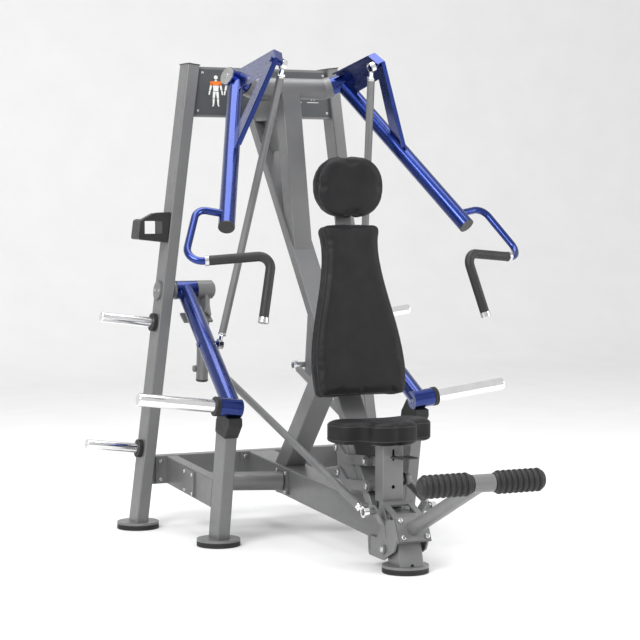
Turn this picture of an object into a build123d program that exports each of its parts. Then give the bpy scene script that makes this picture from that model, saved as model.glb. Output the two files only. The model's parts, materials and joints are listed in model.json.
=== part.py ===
"""Plate-loaded chest press with two independent arms and a foot-assist lever.

The origin is on the floor, at the middle of the machine's length and width. X runs across the
machine, -Y is the side the user faces and +Z is up. Left is the -X side. The drawing dimensions
below are taken from the line between the two uprights, and MIDDLE_Y moves them to the origin.
All lengths are millimetres.
"""
from build123d import *
from math import atan2, cos, degrees, radians, sin
import os

# ---- base frame --------------------------------------------------------------------------
UPRIGHT_W = 50.0            # across X
UPRIGHT_D = 100.0           # along Y
UPRIGHT_FOOT_X = 550.0      # upright centre at the top of its foot plate
UPRIGHT_TOP_Z = 1910.0
LEAN = 0.125                # inward X shift of an upright for every mm of height
WALL = 4.0                  # wall of the square and rectangular tubes
FOOT_R = 86.0
FOOT_RUBBER_T = 20.0
FOOT_PLATE_T = 9.0
FOOT_TOP_Z = FOOT_RUBBER_T + FOOT_PLATE_T
RAIL_H = 115.0              # height of the base rails
RAIL_SLOPE = 0.0635         # base rails drop this much for every mm towards the front
RAIL_TOP_Z = 294.0          # top of the rails where they meet the lower beam
SIDE_RAIL_W = 50.0
SIDE_RAIL_X = 405.0
SPINE_W = 115.0
SPINE_END_Y = -1322.0
BEAM_Y = 22.0
BEAM_D = 56.0
POST_W = 50.0
POST_D = 100.0
POST_FOOT = (405.0, -530.0)     # X and Y where a stop post meets its foot plate
POST_TOP = (405.0, -610.0, 445.0)
FRONT_FOOT_Y = -1337.0
PLATE_T = 8.0

# ---- mast, top beam and press pivots -------------------------------------------------------
TOP_BEAM_Z = (1698.0, 1903.0)
TOP_BEAM_D = 56.0
TOP_BEAM_Y = -5.0
SIGN_T = 3.0
MAST_W = 100.0
MAST_D = 43.0
DIAGONAL_SLOPE = 0.768      # forward travel of the diagonal for every mm it goes down
DIAGONAL_TOP = (-45.0, 1677.0)
FRONT_W = 80.0
FRONT_D = 80.0
FRONT_SLOPE = 0.19
HOUSING_Y = -285.0
HOUSING_Z = 1807.0
HOUSING_R = 42.0
HOUSING_X = 160.0           # where the housing axis meets a press axis
PRESS_AXIS = Vector(-0.906, -0.280, 0.317).normalized()     # left side, pointing outwards
STUB_L = 36.0
PRESS_HUB_R = 38.0
PRESS_HUB_L = 94.0
PRESS_AXLE_R = 17.5
RUNNING_GAP = 0.05          # radial clearance of every running fit
FACE_GAP = 1.0              # end gap between a turning hub and its neighbour

# ---- press arms ----------------------------------------------------------------------------
ARM_R = 31.5
ARM_END = Vector(-509, -871, 1253)
PLATE_BRACKET_T = 6.0
BRACKET_TIP = Vector(-218, -661, 1933)
HANDLE_R = 14.0
HANDLE_POINTS = [Vector(-505, -832, 1302), Vector(-607, -820, 1320), Vector(-713, -960, 1126),
                 Vector(-404, -1055, 1151), Vector(-463, -1107, 912)]
HANDLE_BENDS = [52.0, 55.0, 42.0]
GRIP_R = 18.0
FERRULE_R = 19.5
FERRULE_L = 15.0
GRIP_START_X = -640.0

# ---- weight arms, levers and rods ----------------------------------------------------------
PIVOT_Z = 981.0
HUB_R = 39.0
HUB_X = 340.0               # centre of the weight arm hub
HUB_L = 90.0
LEVER_HUB_X = 254.5
LEVER_HUB_L = 79.0
AXLE_R = 20.0
WEIGHT_ARM_R = 36.0
ARM_FOOT = Vector(-404, -672, 555)      # lower end of the weight arm tube
PEG_HUB = Vector(-417, -672, 557)
PEG_HUB_R = 36.5
PEG_HUB_L = 91.0
PEG_R = 25.0
PEG_L = 331.0
PEG_COLLAR_R = 38.0
PEG_COLLAR_T = 20.0
SEAT_STEP = 0.5             # a peg is this much thinner in radius inside its collar
TIE_BOSS_AT = 0.4805        # share of the arm length where the tie rod is attached
TIE_X = 315.0               # centre of the tie rod's lower eye
ROD_R = 15.0
EYE_R = 21.0
EYE_T = 18.0
BALL_R = 8.5
BALL_L = 16.0
BALL_CLEARANCE = 6.5        # play of the open ball sockets of the rods
LEVER_R = 25.0
LEVER_END = Vector(-250, 40, 603)
LEVER_EYE = Vector(-182, 50, 647)
FOOT_EYE = Vector(-138, -1285, 222)

# ---- foot lever ----------------------------------------------------------------------------
FOOT_PIVOT = (-1296.0, 82.0)
YOKE_X = 60.0               # inner face of a yoke side plate
YOKE_T = 7.0
ROLLER_AXIS = (-1895.0, 398.0)
FOOT_TUBE_R = 26.0
ROLLER_R = 41.0
ROLLER_X = (42.0, 238.0)
ROLLER_BAR_R = 16.0

# ---- seat and pads -------------------------------------------------------------------------
SEAT_POST_W = 84.0
SEAT_POST_Y = (-1240.0, -1170.0)
LINK_REAR = ((-878.0, 408.0), (-895.0, 315.0))      # upper and lower pins on the mast bracket
LINK_FRONT = ((-1123.0, 386.0), (-1140.0, 293.0))   # upper and lower pins on the seat post
LINK_X = (52.0, 60.0)       # inner and outer face of a link plate
LINK_HUB_R = 20.0
LINK_PIN_R = 9.0
SEAT_Z = (459.0, 536.0)
BACK_TOP = (-886.0, 1269.0)     # front face of the back pad at its top edge
BACK_BOTTOM = (-1000.0, 612.0)
PAD_T = 70.0
HEAD_CENTRE = (-888.0, 1403.0)


# ---- helpers ---------------------------------------------------------------------------------
def mirrored(shape):
    """The right-hand copy of a left-hand shape."""
    return mirror(shape, about=Plane.YZ)


def on_right(v):
    return Vector(-v.X, v.Y, v.Z)


def rod(p, q, radius):
    """Solid round bar from p to q."""
    p, q = Vector(p), Vector(q)
    plane = Plane(origin=p, z_dir=q - p)
    return plane * Cylinder(radius, (q - p).length, align=(Align.CENTER, Align.CENTER, Align.MIN))


def round_tube(p, q, radius, bore):
    """Round tube from p to q with its bore running right through."""
    return rod(p, q, radius) - rod(p, q, bore)


def bar(p, q, width, depth, across):
    """Rectangular bar from p to q; width lies along the across direction."""
    p, q = Vector(p), Vector(q)
    plane = Plane(origin=p, x_dir=across, z_dir=q - p)
    return plane * Box(width, depth, (q - p).length, align=(Align.CENTER, Align.CENTER, Align.MIN))


def box_tube(p, q, width, depth, across, wall=WALL, radius=5.0):
    """Rectangular tube from p to q with rounded long corners."""
    length = (Vector(q) - Vector(p)).length
    plane = Plane(origin=p, x_dir=across, z_dir=Vector(q) - Vector(p))
    outer = extrude(RectangleRounded(width, depth, radius), length)
    inner = extrude(RectangleRounded(width - 2 * wall, depth - 2 * wall, radius - wall / 2), length)
    return plane * (outer - inner)


def yz_plate(points, x_from, x_to):
    """Plate whose outline lies in the YZ plane, between two X positions."""
    face = make_face(Polyline([(0, y, z) for y, z in points], close=True))
    return extrude(face, x_to - x_from, dir=(1, 0, 0)).translate((x_from, 0, 0))


def rod_end(centre, towards, axis, neck):
    """Eye with a shank pointing towards the tube; the eye is bored for its ball."""
    centre, axis = Vector(centre), Vector(axis).normalized()
    aim = (Vector(towards) - centre).normalized()
    eye = rod(centre - axis * EYE_T / 2, centre + axis * EYE_T / 2, EYE_R)
    shank = rod(centre + aim * (EYE_R - 3), centre + aim * neck, ROD_R * 0.62)
    bore = rod(centre - axis * EYE_T, centre + axis * EYE_T, BALL_R + BALL_CLEARANCE)
    return eye + shank - bore


def ball(centre, axis):
    """Bearing inner ring of a rod end, fused to the stud that holds it."""
    half = Vector(axis).normalized() * BALL_L / 2
    return rod(Vector(centre) - half, Vector(centre) + half, BALL_R)


def lean_x(z):
    """X distance of an upright's centre line from the middle at height z."""
    return UPRIGHT_FOOT_X - LEAN * (z - FOOT_TOP_Z)


def rail_top(y):
    """Height of the top of the base rails at y."""
    return RAIL_TOP_Z + RAIL_SLOPE * y


def rail_centre(x, y):
    return Vector(x, y, rail_top(y) - RAIL_H / 2)


def diagonal_y(z):
    """Y of the front face of the diagonal mast tube at height z."""
    return DIAGONAL_TOP[0] - DIAGONAL_SLOPE * (DIAGONAL_TOP[1] - z)


LEAN_AXIS = Vector(-1, 0, LEAN).normalized()        # left side, square to the upright, outwards
ARM_AXIS = Vector(-1, 0, 0)                         # weight arm pivot axis, left side, outwards
PRESS_PIVOT = Vector(-HOUSING_X, HOUSING_Y, HOUSING_Z)
PRESS_HUB = PRESS_PIVOT + PRESS_AXIS * (STUB_L + PRESS_HUB_L / 2)
ARM_PIVOT = Vector(-HUB_X, 0, PIVOT_Z)
LEVER_PIVOT = Vector(-LEVER_HUB_X, 0, PIVOT_Z)
TIE_BOSS = ARM_PIVOT + (ARM_FOOT - ARM_PIVOT) * TIE_BOSS_AT
TIE_LOWER = Vector(-TIE_X, TIE_BOSS.Y, TIE_BOSS.Z)

DIAGONAL_NORMAL = Vector(0, 1, -DIAGONAL_SLOPE).normalized()    # out of its rear face

# plane of the bracket plate: its X runs down the arm tube, its Y towards the bracket tip
BRACKET_NORMAL = (ARM_END - PRESS_HUB).cross(BRACKET_TIP - PRESS_HUB).normalized()
BRACKET_PLANE = Plane(origin=PRESS_HUB, x_dir=ARM_END - PRESS_HUB, z_dir=BRACKET_NORMAL)
TIE_HOLE = (198.0, 308.0)
TIE_INSET = 49.0
BRACKET_SIDE = 1.0 if BRACKET_PLANE.to_local_coords(BRACKET_TIP).Y > 0 else -1.0
INWARD = -1.0 if BRACKET_NORMAL.X < 0 else 1.0      # sign of the plane's Z that faces inboard
TIE_UPPER = BRACKET_PLANE.from_local_coords(
    Vector(TIE_HOLE[0], BRACKET_SIDE * TIE_HOLE[1], INWARD * TIE_INSET))


# ---- base frame --------------------------------------------------------------------------------
def upright():
    foot = Vector(-lean_x(FOOT_TOP_Z), 0, FOOT_TOP_Z)
    top = Vector(-lean_x(UPRIGHT_TOP_Z), 0, UPRIGHT_TOP_Z)
    low = foot - (top - foot).normalized() * 12
    tube = box_tube(low, top, UPRIGHT_W, UPRIGHT_D, (1, 0, LEAN))
    floor_cut = Box(400, 400, 60, align=(Align.CENTER, Align.CENTER, Align.MAX))
    tube -= Pos(foot.X, 0, FOOT_TOP_Z) * floor_cut
    bore = rod(ARM_PIVOT, ARM_PIVOT + ARM_AXIS * 200, AXLE_R)
    return tube - bore


def upright_cap():
    top = Vector(-lean_x(UPRIGHT_TOP_Z), 0, UPRIGHT_TOP_Z)
    up = Vector(LEAN, 0, 1).normalized()
    plate = bar(top, top + up * 4, UPRIGHT_W + 3, UPRIGHT_D + 3, (1, 0, LEAN))
    inside = UPRIGHT_W - 2 * WALL - 4
    plug = bar(top - up * 18, top, inside, UPRIGHT_D - 2 * WALL - 4, (1, 0, LEAN))
    return plate + plug


def upright_edge(z, gap=0.3):
    """X distance of an upright's inner face from the middle at height z."""
    return lean_x(z) - UPRIGHT_W / 2 * (1 + LEAN ** 2) ** 0.5 - gap


def cross_beam(z_low, z_high, y_mid, depth):
    """Box beam between the two leaning uprights."""
    outline = [(-upright_edge(z_low), z_low), (upright_edge(z_low), z_low),
               (upright_edge(z_high), z_high), (-upright_edge(z_high), z_high)]
    face = make_face(Polyline([(x, y_mid + depth / 2, z) for x, z in outline], close=True))
    core = Pos(0, y_mid, (z_low + z_high) / 2) * Box(
        1400, depth - 2 * WALL, z_high - z_low - 2 * WALL)
    return extrude(face, depth, dir=(0, -1, 0)) - core


def lower_beam():
    beam_top = rail_top(BEAM_Y - BEAM_D / 2)
    return cross_beam(beam_top - RAIL_H, beam_top, BEAM_Y, BEAM_D)


def rail_flange(x, y, width):
    """Upright plate on the rear end of a base rail, bolted to the lower beam."""
    mid = rail_centre(x, y)
    return Pos(x, y - PLATE_T / 2, mid.Z) * Box(width, PLATE_T, RAIL_H - 2)


def side_rail():
    y_rear = BEAM_Y - BEAM_D / 2 - 0.2
    y_front = POST_FOOT[1] - 20
    tube = box_tube(rail_centre(-SIDE_RAIL_X, y_rear - PLATE_T), rail_centre(-SIDE_RAIL_X, y_front),
                    SIDE_RAIL_W, RAIL_H, (1, 0, 0))
    flange = rail_flange(-SIDE_RAIL_X - 20, y_rear, SIDE_RAIL_W + 56)
    cover_x = -SIDE_RAIL_X - SIDE_RAIL_W / 2 - PLATE_T / 2
    cover = Pos(cover_x, CROSS_Y[0], rail_centre(0, CROSS_Y[0]).Z) * Rot(
        degrees(atan2(RAIL_SLOPE, 1)), 0, 0) * Box(PLATE_T, 110, RAIL_H - 14)
    return tube + flange + cover - post_body(0.2)


def post_body(grow=0.0):
    foot = Vector(-POST_FOOT[0], POST_FOOT[1], FOOT_TOP_Z)
    top = Vector(-POST_TOP[0], POST_TOP[1], POST_TOP[2])
    return bar(foot, top, POST_W + 2 * grow, POST_D + 2 * grow, (1, 0, 0))


def stop_post():
    foot = Vector(-POST_FOOT[0], POST_FOOT[1], FOOT_TOP_Z)
    top = Vector(-POST_TOP[0], POST_TOP[1], POST_TOP[2])
    up = (top - foot).normalized()
    tube = box_tube(foot - up * 20, top, POST_W, POST_D, (1, 0, 0))
    lid = bar(top - up * 4, top, POST_W - 5, POST_D - 5, (1, 0, 0))
    floor_cut = Box(400, 400, 60, align=(Align.CENTER, Align.CENTER, Align.MAX))
    return tube + lid - Pos(foot.X, foot.Y, FOOT_TOP_Z) * floor_cut


CROSS_Y = (-283.0, -367.0)      # Y where a cross tube meets the side rail and the spine
CROSS_R = 38.0


def cross_tube():
    """Round tube from a side rail to a bolted plate on the spine."""
    x_spine = SPINE_W / 2 + 0.2
    start = rail_centre(-SIDE_RAIL_X + SIDE_RAIL_W / 2 + 0.3, CROSS_Y[0])
    end = rail_centre(-x_spine - PLATE_T / 2, CROSS_Y[1])
    tube = round_tube(start - (end - start) * 0.1, end, CROSS_R, CROSS_R - WALL)
    plate = Pos(-x_spine - PLATE_T / 2, CROSS_Y[1], end.Z) * Box(PLATE_T, 112, RAIL_H - 12)
    rail_space = Pos(-SIDE_RAIL_X, CROSS_Y[0], 220) * Box(SIDE_RAIL_W + 0.6, 300, 300)
    return tube + plate - rail_space - Pos(0, CROSS_Y[1], 220) * Box(2 * x_spine, 300, 300)


def spine_rail():
    y_rear = BEAM_Y - BEAM_D / 2 - 0.2
    tube = box_tube(rail_centre(0, y_rear - PLATE_T), rail_centre(0, SPINE_END_Y), SPINE_W, RAIL_H, (1, 0, 0))
    flange = rail_flange(0, y_rear, SPINE_W + 76)
    end = rail_centre(0, SPINE_END_Y)
    lid = bar(end, end + Vector(0, 1, RAIL_SLOPE).normalized() * 4, SPINE_W - 5, RAIL_H - 5, (1, 0, 0))
    return tube + flange + lid


FOOT_PIN_R = 11.0
FRONT_POST_W = 97.0
FRONT_POST_D = 96.0


def front_post():
    """Short leaning leg under the front end of the spine, open at the bottom."""
    foot = Vector(0, FRONT_FOOT_Y - 6, FOOT_TOP_Z)
    top = Vector(0, FRONT_FOOT_Y + 23, FOOT_TOP_Z + 102)
    up = (top - foot).normalized()
    tube = box_tube(foot - up * 30, top, FRONT_POST_W, FRONT_POST_D, (1, 0, 0))
    boss = rod((-YOKE_X + 1, *FOOT_PIVOT), (YOKE_X - 1, *FOOT_PIVOT), 20)
    inside = bar(foot, top, FRONT_POST_W - WALL, FRONT_POST_D - WALL, (1, 0, 0))
    floor_cut = Pos(0, FRONT_FOOT_Y, FOOT_TOP_Z) * Box(
        400, 400, 60, align=(Align.CENTER, Align.CENTER, Align.MAX))
    notch = Pos(0, FRONT_FOOT_Y - FRONT_POST_D / 2, FOOT_TOP_Z) * Rot(90, 0, 0) * Cylinder(8, 60)
    pin_bore = rod((-200, *FOOT_PIVOT), (200, *FOOT_PIVOT), FOOT_PIN_R)
    spine_cut = bar(rail_centre(0, 200), rail_centre(0, SPINE_END_Y - 0.4), 200, RAIL_H + 0.4, (1, 0, 0))
    return tube + (boss - inside) - floor_cut - notch - pin_bore - spine_cut


def foot_positions():
    spots = [(0, FRONT_FOOT_Y)]
    for side in (-1, 1):
        spots.append((side * (UPRIGHT_FOOT_X + 2), 0))
        spots.append((side * (POST_FOOT[0] + 2), POST_FOOT[1]))
    return spots


def foot_plates():
    plate = Cylinder(FOOT_R, FOOT_PLATE_T, align=(Align.CENTER, Align.CENTER, Align.MIN))
    plate = chamfer(plate.edges().group_by(Axis.Z)[-1], 1.0)
    return [Pos(x, y, FOOT_RUBBER_T) * plate for x, y in foot_positions()]


def foot_rubbers():
    rubber = Cylinder(FOOT_R, FOOT_RUBBER_T, align=(Align.CENTER, Align.CENTER, Align.MIN))
    groove = Cylinder(FOOT_R + 5, 2, align=(Align.CENTER, Align.CENTER, Align.MIN)) - Cylinder(
        FOOT_R - 2, 2, align=(Align.CENTER, Align.CENTER, Align.MIN))
    rubber = fillet(rubber.edges().group_by(Axis.Z)[0], 2.0)
    rubber -= Pos(0, 0, FOOT_RUBBER_T * 0.45) * groove
    return [Pos(x, y, 0) * rubber for x, y in foot_positions()]


# ---- mast and top ------------------------------------------------------------------------------
def mast_diagonal():
    """Long tube from the top beam down to the spine behind the seat."""
    z_top = DIAGONAL_TOP[1] + 40
    z_low = rail_top(-1100)
    half = Vector(0, MAST_D / 2 * (1 + DIAGONAL_SLOPE ** 2) ** 0.5, 0)
    top = Vector(0, diagonal_y(z_top), z_top) + half
    low = Vector(0, diagonal_y(z_low - 60), z_low - 60) + half
    tube = box_tube(low, top, MAST_W, MAST_D, (1, 0, 0))
    spine_cut = bar(rail_centre(0, 200), rail_centre(0, -1500), 200, RAIL_H + 0.6, (1, 0, 0))
    below = Pos(0, -1100, 60) * Box(300, 500, 200)
    beam_cut = Pos(0, TOP_BEAM_Y, 1800) * Box(300, TOP_BEAM_D + 0.6, 2 * (1800 - TOP_BEAM_Z[0] + 0.3))
    behind = Pos(0, TOP_BEAM_Y - TOP_BEAM_D / 2 + 60, TOP_BEAM_Z[0] + 200) * Box(300, 120, 400)
    return tube - spine_cut - below - beam_cut - behind - brace_body(0.3)


def brace_body(grow=0.0):
    """Level box from the top beam forward to the front mast tube."""
    y_rear = TOP_BEAM_Y - TOP_BEAM_D / 2 - 0.3
    z_low, z_high = 1682.0, 1762.0
    y_front = HOUSING_Y + 10
    return Pos(0, (y_rear + y_front) / 2, (z_low + z_high) / 2) * Box(
        FRONT_W + 2 * grow, y_rear - y_front + 2 * grow, z_high - z_low + 2 * grow)


def front_face_y(z):
    """Y of the front face of the front mast tube at height z."""
    return -325.0 - (1785.0 - z) * FRONT_SLOPE


def mast_front():
    """Front mast tube with the brace and gusset that tie it back to the top beam."""
    low, top = (Vector(0, front_face_y(z) + FRONT_D / 2 * (1 + FRONT_SLOPE ** 2) ** 0.5, z)
                for z in (1070.0, HOUSING_Z))
    tube = box_tube(low, top, FRONT_W, FRONT_D, (1, 0, 0))
    behind_diagonal = bar((0, diagonal_y(600), 600), (0, diagonal_y(1677), 1677), 300, 300, (1, 0, 0))
    behind_diagonal = behind_diagonal.translate(DIAGONAL_NORMAL * 149.7)
    brace = brace_body() - Pos(0, (HOUSING_Y - 30) / 2, 1722) * Box(FRONT_W - 8, 210, 72)
    gusset = yz_plate([(diagonal_y(1681) - 4, 1682), (front_face_y(1682) + 70, 1682),
                       (front_face_y(1555) + 75, 1555), (diagonal_y(1555) - 1, 1555)], -5, 5)
    housing_cut = rod((-300, HOUSING_Y, HOUSING_Z), (300, HOUSING_Y, HOUSING_Z), HOUSING_R + 0.3)
    return (tube + gusset - behind_diagonal) + brace - housing_cut


def mast_rear_leg():
    """Leg from the diagonal back down to the spine."""
    top = Vector(0, -575 - 0.9 * 300, 569 + 300)
    low = Vector(0, -575 + 0.9 * 350, 569 - 350)
    tube = box_tube(low, top, 88, 84, (1, 0, 0))
    spine_cut = bar(rail_centre(0, 400), rail_centre(0, -1500), 200, RAIL_H + 0.6, (1, 0, 0))
    below = Pos(0, -300, 60) * Box(300, 900, 280)
    front = bar((0, diagonal_y(400), 400), (0, diagonal_y(1200), 1200), 300, 400, (1, 0, 0))
    front = front.translate(DIAGONAL_NORMAL * (MAST_D + 0.3 - 200))
    return tube - spine_cut - below - front


def press_housing():
    """Round tube across the top with two angled stubs that carry the press axles."""
    middle = Vector(0, PRESS_PIVOT.Y, PRESS_PIVOT.Z)
    stub_end = PRESS_PIVOT + PRESS_AXIS * (STUB_L - FACE_GAP)
    elbow = Pos(*PRESS_PIVOT) * Sphere(HOUSING_R + 0.4) - rod(stub_end, stub_end + PRESS_AXIS * 40, 2 * HOUSING_R)
    half = rod(middle, PRESS_PIVOT, HOUSING_R) + elbow + rod(PRESS_PIVOT, stub_end, HOUSING_R)
    half -= rod(middle - Vector(5, 0, 0), PRESS_PIVOT + Vector(60, 0, 0), HOUSING_R - WALL)
    half -= rod(PRESS_PIVOT - PRESS_AXIS * AXLE_DEPTH, PRESS_PIVOT + PRESS_AXIS * 60, PRESS_AXLE_R)
    return half + mirrored(half)


AXLE_DEPTH = 30.0           # how far a press axle goes in past the bend of the housing


def press_axle():
    """Axle shaft of a press arm, held in the housing stub."""
    deep = PRESS_PIVOT - PRESS_AXIS * (AXLE_DEPTH - 0.5)
    out = PRESS_PIVOT + PRESS_AXIS * (STUB_L + PRESS_HUB_L - 8)
    return rod(deep, out, PRESS_AXLE_R)


def arm_axle():
    """Axle of a weight arm and its lift lever, with the round cover on the upright."""
    outer = Vector(-lean_x(PIVOT_Z) - UPRIGHT_W / 2, 0, PIVOT_Z)
    inner = LEVER_PIVOT - ARM_AXIS * (LEVER_HUB_L / 2 - 8)
    shaft = rod(inner, outer, AXLE_R)
    cover = rod(outer + LEAN_AXIS * 0.6, outer + LEAN_AXIS * 9, 40)
    sleeve_in = ARM_PIVOT + ARM_AXIS * (HUB_L / 2 + FACE_GAP)
    sleeve_out = Vector(-lean_x(PIVOT_Z) + UPRIGHT_W / 2 + 5.4, 0, PIVOT_Z)
    sleeve = rod(sleeve_in, sleeve_out, HUB_R - 2)
    return shaft + rod(outer, outer + LEAN_AXIS * 2, AXLE_R - 1) + cover + sleeve


def pivot_axles():
    pins = []
    for shape in (press_axle(), arm_axle()):
        pins += [shape, mirrored(shape)]
    reach = YOKE_X + YOKE_T + 5
    foot_pin = rod((-reach, *FOOT_PIVOT), (reach, *FOOT_PIVOT), FOOT_PIN_R)
    for side in (-1, 1):
        head = rod((side * (YOKE_X + YOKE_T + 1), *FOOT_PIVOT), (side * (reach + 2), *FOOT_PIVOT), 17)
        foot_pin += head
    pins.append(foot_pin)
    pins += [link_pin(y, z) for y, z in LINK_REAR]
    return pins


def link_pin(y, z):
    """Pin through both plates of a seat link, with a round cap at each end."""
    reach = LINK_X[1] + 0.6
    caps = rod((-reach - 4, y, z), (-reach, y, z), 14) + rod((reach, y, z), (reach + 4, y, z), 14)
    return rod((-reach - 1, y, z), (reach + 1, y, z), LINK_PIN_R) + caps


def sign_plate():
    y_front = TOP_BEAM_Y - TOP_BEAM_D / 2
    z_low, z_high = TOP_BEAM_Z[0] + 10, TOP_BEAM_Z[1] - 10
    outline = [(-upright_edge(z_low, 3), z_low), (upright_edge(z_low, 3), z_low),
               (upright_edge(z_high, 3), z_high), (-upright_edge(z_high, 3), z_high)]
    face = make_face(Polyline([(x, y_front, z) for x, z in outline], close=True))
    middle = Pos(0, y_front, 1700) * Box(FRONT_W + 2, 40, 140)
    return extrude(face, SIGN_T, dir=(0, -1, 0)) - middle


def bolt(at, direction, head_r=8.0, head_t=6.0, into=10.0):
    """Button-headed bolt whose head sits on a face at the given point."""
    at, direction = Vector(at), Vector(direction).normalized()
    head = rod(at, at + direction * head_t, head_r)
    head = fillet(head.edges().filter_by(GeomType.CIRCLE).sort_by(
        lambda e: -(e.center() - at).dot(direction))[0], head_t * 0.5)
    socket = rod(at + direction * (head_t - 2.5), at + direction * (head_t + 1), head_r * 0.42)
    return head - socket


def frame_bolts():
    bolts = []
    y_flange = BEAM_Y - BEAM_D / 2 - 0.2 - PLATE_T
    z_mid = rail_centre(0, y_flange).Z
    for side in (-1, 1):
        for dz in (-38, 38):
            x_out = side * (SIDE_RAIL_X + SIDE_RAIL_W / 2 + 26)
            bolts.append(bolt((x_out, y_flange, z_mid + dz), (0, -1, 0)))
            bolts.append(bolt((side * (SPINE_W / 2 + 19), y_flange, z_mid + dz), (0, -1, 0)))
    plates = ((SPINE_W / 2 + 0.2 + PLATE_T, CROSS_Y[1]), (SIDE_RAIL_X + SIDE_RAIL_W / 2 + PLATE_T, CROSS_Y[0]))
    for x, y in plates:
        for side in (-1, 1):
            for dy in (-42, 42):
                for dz in (-38, 38):
                    at = rail_centre(side * x, y + dy)
                    bolts.append(bolt(at + Vector(0, 0, dz), (side, 0, 0), 8, 6))
    y_sign = TOP_BEAM_Y - TOP_BEAM_D / 2 - SIGN_T
    for z in (TOP_BEAM_Z[0] + 24, TOP_BEAM_Z[1] - 24):
        for side in (-1, 1):
            bolts.append(bolt((side * upright_edge(z, 20), y_sign, z), (0, -1, 0), 5.5, 3.0))
    return bolts


STORE_Z = (846.0, 326.0)
STORE_PEG_L = 220.0
STORE_PEG_R = 21.0
STORE_COLLAR_T = 18.0


def storage_base(z):
    return Vector(-lean_x(z), 0, z) + LEAN_AXIS * (UPRIGHT_W / 2 + 0.2)


def storage_pegs():
    pegs = []
    for z in STORE_Z:
        peg = stepped_peg(storage_base(z), STORE_COLLAR_T + STORE_PEG_L, STORE_PEG_R, STORE_COLLAR_T)
        pegs += [peg, mirrored(peg)]
    return pegs


def storage_collars():
    rings = []
    for z in STORE_Z:
        base = storage_base(z)
        ring = rod(base, base + LEAN_AXIS * STORE_COLLAR_T, 37)
        ring -= rod(base, base + LEAN_AXIS * 20, STORE_PEG_R - SEAT_STEP)
        rings += [ring, mirrored(ring)]
    return rings


def stop_block():
    """Black wedge on the post; its hollow carries the peg hub when the arm is down."""
    top_y, top_z = POST_TOP[1], POST_TOP[2]
    outline = [(top_y + 47, top_z + 9.6), (top_y + 38, top_z + 56), (PEG_HUB.Y + 40, PEG_HUB.Z + 10),
               (PEG_HUB.Y, PEG_HUB.Z - PEG_HUB_R), (PEG_HUB.Y - 30, PEG_HUB.Z - PEG_HUB_R - 6),
               (PEG_HUB.Y - 32, PEG_HUB.Z - PEG_HUB_R - 32), (top_y - 48, top_z - 9.3)]
    block = yz_plate(outline, -POST_TOP[0] - 28, -POST_TOP[0] + 28)
    hub_space = rod(PEG_HUB - LEAN_AXIS * 90, PEG_HUB + LEAN_AXIS * 90, PEG_HUB_R + 0.6)
    arm_space = rod(ARM_PIVOT, ARM_FOOT, WEIGHT_ARM_R + 0.6)
    return block - hub_space - arm_space - post_body(0.3)


def accessory_holder():
    """Open shelf box on the outside of the left upright."""
    z_low, z_high = 1180.0, 1304.0
    x_in = -(lean_x(z_low) + UPRIGHT_W / 2 + 2.5)
    outline = [(x_in - 2, z_low), (x_in - 128, z_low + 14), (x_in - 118, z_high - 34),
               (x_in - 60, z_high - 4), (x_in + 12, z_high)]
    face = make_face(Polyline([(x, 42, z) for x, z in outline], close=True))
    body = extrude(face, 92, dir=(0, -1, 0))
    lean_cut = bar((-lean_x(1000), 0, 1000), (-lean_x(1500), 0, 1500),
                   UPRIGHT_W + 0.6, 200, (1, 0, LEAN))
    window = Pos(x_in - 62, -10, z_low + 62) * Box(76, 120, 52)
    pocket = Pos(x_in - 64, 16, z_low + 90) * Box(84, 60, 120)
    return fillet(body.edges().filter_by(Axis.Y).sort_by(Axis.X)[0:2], 8) - window - pocket - lean_cut


# ---- pads ----------------------------------------------------------------------------------------
def back_direction():
    """Unit vector up the front face of the back pad."""
    return Vector(0, BACK_TOP[0] - BACK_BOTTOM[0], BACK_TOP[1] - BACK_BOTTOM[1]).normalized()


BACK_PLANE = Plane(origin=(0, *BACK_BOTTOM), x_dir=(1, 0, 0),
                   z_dir=Vector(0, -(BACK_TOP[1] - BACK_BOTTOM[1]), BACK_TOP[0] - BACK_BOTTOM[0]))
BACK_LEN = ((BACK_TOP[0] - BACK_BOTTOM[0]) ** 2 + (BACK_TOP[1] - BACK_BOTTOM[1]) ** 2) ** 0.5
BACK_TOP_W = 250.0
BACK_MAX_W = 392.0


def back_pad():
    """Tapered back cushion, widest a little above its bottom edge."""
    half_top, half_max = BACK_TOP_W / 2, BACK_MAX_W / 2
    side = [(half_top, BACK_LEN), (half_top + 16, BACK_LEN * 0.62), (half_max, BACK_LEN * 0.18),
            (half_max - 14, 0)]
    right = Spline(side)
    left = Spline([(-x, y) for x, y in side])
    outline = make_face(Wire([right, Line(side[-1], (-side[-1][0], 0)), left,
                              Line((-half_top, BACK_LEN), (half_top, BACK_LEN))]))
    pad = extrude(outline, -PAD_T)
    pad = fillet(pad.edges().filter_by(Axis.Z), 22)
    pad = fillet(pad.faces().sort_by(Axis.Z)[-1].edges(), 10)
    return BACK_PLANE * pad


def head_pad():
    width, height = 284.0, 244.0
    profile = RectangleRounded(width, height, 112)
    pad = fillet(extrude(profile, PAD_T).faces().sort_by(Axis.Z)[-1].edges(), 14)
    plane = Plane(origin=(0, HEAD_CENTRE[0] + PAD_T, HEAD_CENTRE[1]), x_dir=(1, 0, 0), z_dir=(0, -1, 0))
    return plane * pad


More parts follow.
